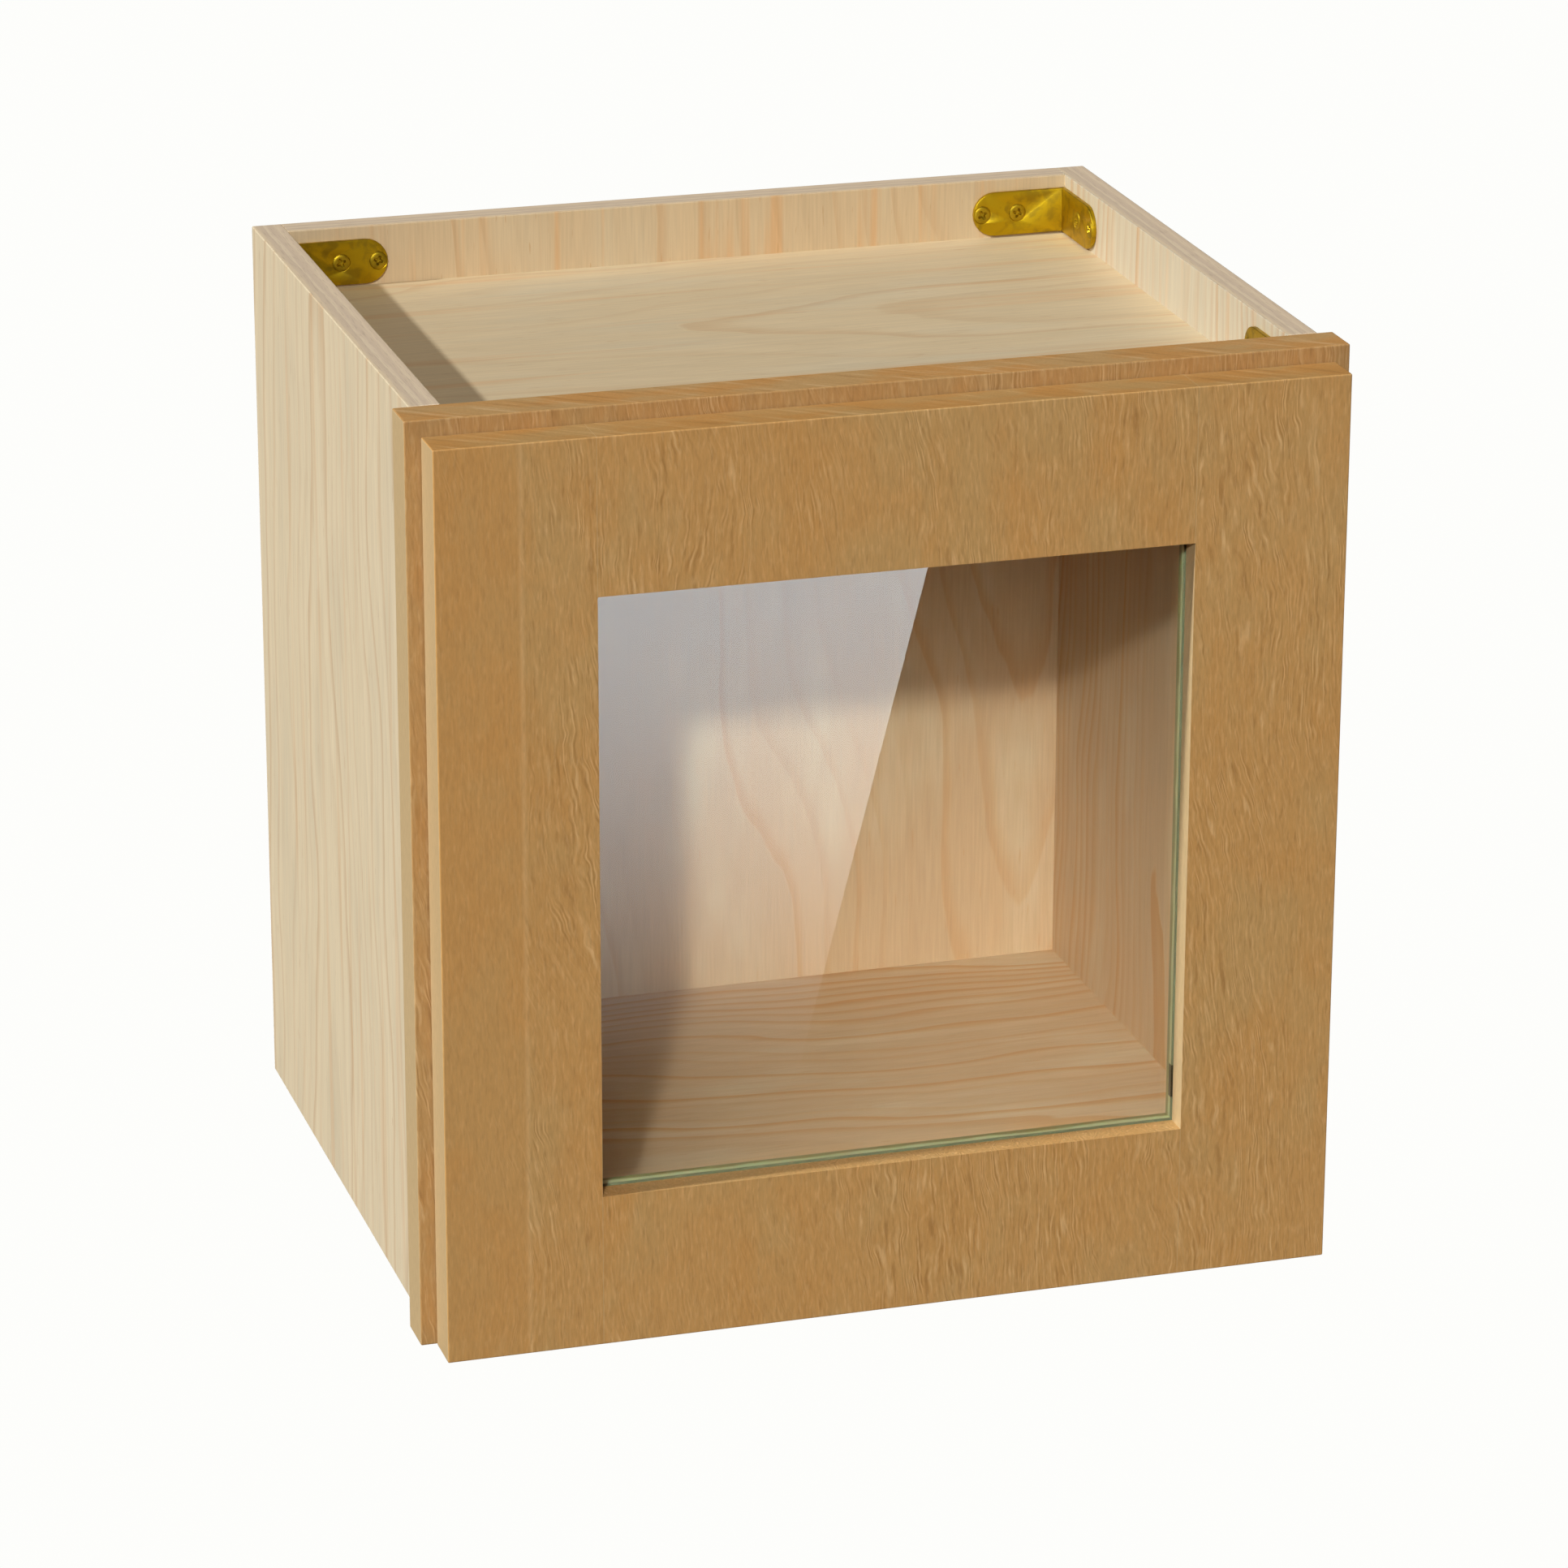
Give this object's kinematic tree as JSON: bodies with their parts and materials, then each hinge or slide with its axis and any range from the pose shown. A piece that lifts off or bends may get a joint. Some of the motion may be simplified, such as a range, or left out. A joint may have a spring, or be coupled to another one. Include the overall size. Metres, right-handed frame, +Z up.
{
  "type": "wall mounted showcase cabinet",
  "caption": "Face-frame wall cabinet with a framed glass door on concealed hinges, recessed top and brass corner brackets.",
  "frame": {"origin": "centre of the cabinet's back face, in the plane of the wall", "axes": "+Y into the wall, so the door is at the front towards -Y; +X to the right for a person facing the door, hinge side; +Z up"},
  "size_m": [0.381, 0.3175, 0.381],
  "materials": {
    "carcass_plywood": "clear-coated pale maple or birch plywood, satin",
    "frame_hardwood": "honey-stained straight-grained hardwood, satin",
    "glass": "clear float glass with green edges, polished",
    "glazing_vinyl": "grey-green translucent vinyl, semi-gloss",
    "brass": "brass-plated, brushed, slightly dark",
    "hinge_steel": "nickel-plated pressed steel",
    "bumper_clear": "soft translucent pad"
  },
  "bodies": {
    "cabinet": {"arm_pin_lower": "hinge_steel", "arm_pin_upper": "hinge_steel", "arm_screw_lower_above": "hinge_steel", "arm_screw_lower_below": "hinge_steel", "arm_screw_upper_above": "hinge_steel", "arm_screw_upper_below": "hinge_steel", "back_panel": "carcass_plywood", "bottom_deck": "carcass_plywood", "bracket_screw_back_left_side_1": "brass", "bracket_screw_back_left_side_2": "brass", "bracket_screw_back_left_wall_1": "brass", "bracket_screw_back_left_wall_2": "brass", "bracket_screw_back_right_side_1": "brass", "bracket_screw_back_right_side_2": "brass", "bracket_screw_back_right_wall_1": "brass", "bracket_screw_back_right_wall_2": "brass", "bracket_screw_front_left_side_1": "brass", "bracket_screw_front_left_side_2": "brass", "bracket_screw_front_left_wall_1": "brass", "bracket_screw_front_left_wall_2": "brass", "bracket_screw_front_right_side_1": "brass", "bracket_screw_front_right_side_2": "brass", "bracket_screw_front_right_wall_1": "brass", "bracket_screw_front_right_wall_2": "brass", "corner_bracket_back_left": "brass", "corner_bracket_back_right": "brass", "corner_bracket_front_left": "brass", "corner_bracket_front_right": "brass", "frame_bottom_rail": "frame_hardwood", "frame_left_stile": "frame_hardwood", "frame_right_stile": "frame_hardwood", "frame_top_rail": "frame_hardwood", "hinge_arm_lower": "hinge_steel", "hinge_arm_upper": "hinge_steel", "left_side": "carcass_plywood", "right_side": "carcass_plywood", "top_deck": "carcass_plywood"},
    "door": {"bumper_lower": "bumper_clear", "bumper_upper": "bumper_clear", "cup_pin_lower": "hinge_steel", "cup_pin_upper": "hinge_steel", "cup_screw_lower_above": "hinge_steel", "cup_screw_lower_below": "hinge_steel", "cup_screw_upper_above": "hinge_steel", "cup_screw_upper_below": "hinge_steel", "door_bottom_rail": "frame_hardwood", "door_left_stile": "frame_hardwood", "door_right_stile": "frame_hardwood", "door_top_rail": "frame_hardwood", "glass_pane": "glass", "glazing_strip_bottom": "glazing_vinyl", "glazing_strip_left": "glazing_vinyl", "glazing_strip_right": "glazing_vinyl", "glazing_strip_top": "glazing_vinyl", "hinge_cup_lower": "hinge_steel", "hinge_cup_upper": "hinge_steel"},
    "hinge_links": {"hinge_link_lower": "hinge_steel", "hinge_link_upper": "hinge_steel"}
  },
  "joints": [
    {"name": "link_swing", "type": "hinge", "parent": "cabinet", "child": "hinge_links", "pos_m": [0.1402, -0.2848, 0], "axis": [0, 0, 1], "range_deg": [-44.2, 0]},
    {"name": "door_swing", "type": "hinge", "parent": "hinge_links", "child": "door", "pos_m": [0.1716, -0.3016, 0], "axis": [0, 0, 1], "range_deg": [0, 149.1]}
  ],
  "couplings": [
    {"joint": "link_swing", "follows": "door_swing", "ratio": -0.29578}
  ]
}
